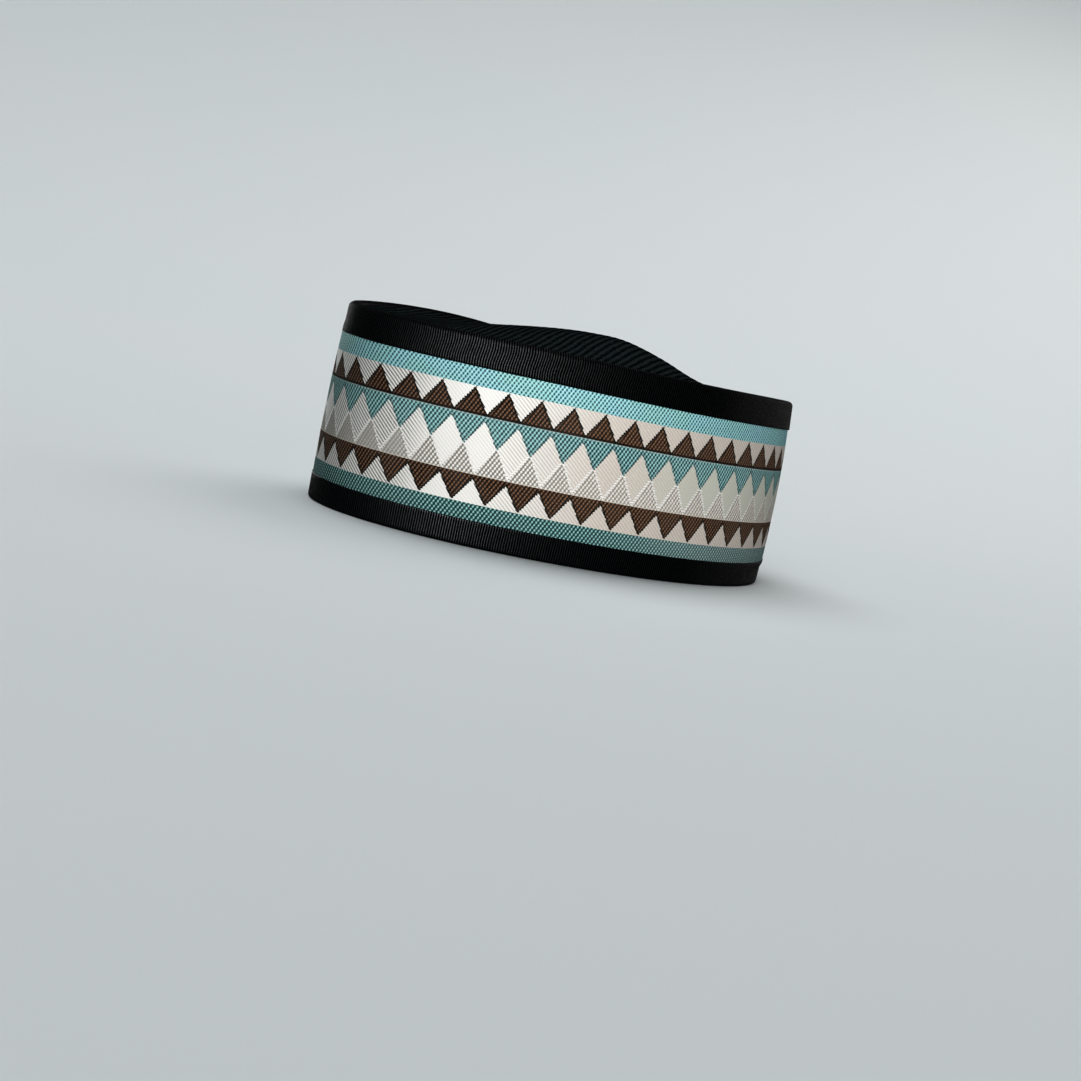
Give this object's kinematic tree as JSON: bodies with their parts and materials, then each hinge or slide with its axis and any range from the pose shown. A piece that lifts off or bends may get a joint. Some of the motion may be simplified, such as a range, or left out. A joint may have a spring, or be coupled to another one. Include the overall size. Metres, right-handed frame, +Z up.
{
  "type": "prayer cap",
  "caption": "Brimless oval prayer cap: stiff upright wall of woven triangle-and-diamond cloth, ribbed black binding at both edges, soft black domed top.",
  "frame": {"origin": "middle of the cap's outline, on the plane that its lower edge rests on", "axes": "+Z up from the lower edge to the crown, -Y towards the forehead, +Y towards the nape, +X to the wearer's left"},
  "size_m": [0.1548, 0.2178, 0.0916],
  "materials": {
    "woven_band": "jacquard-woven cotton in teal, brown, white and grey, matt with a slight satin lustre on the white threads",
    "grosgrain": "black grosgrain with fine upright ribs, low sheen",
    "crown_cloth": "soft black cloth with slanting ribs, matt"
  },
  "bodies": {
    "root": {"side_band": "woven_band", "upper_binding": "grosgrain", "lower_binding": "grosgrain", "crown_top": "crown_cloth"}
  },
  "joints": []
}
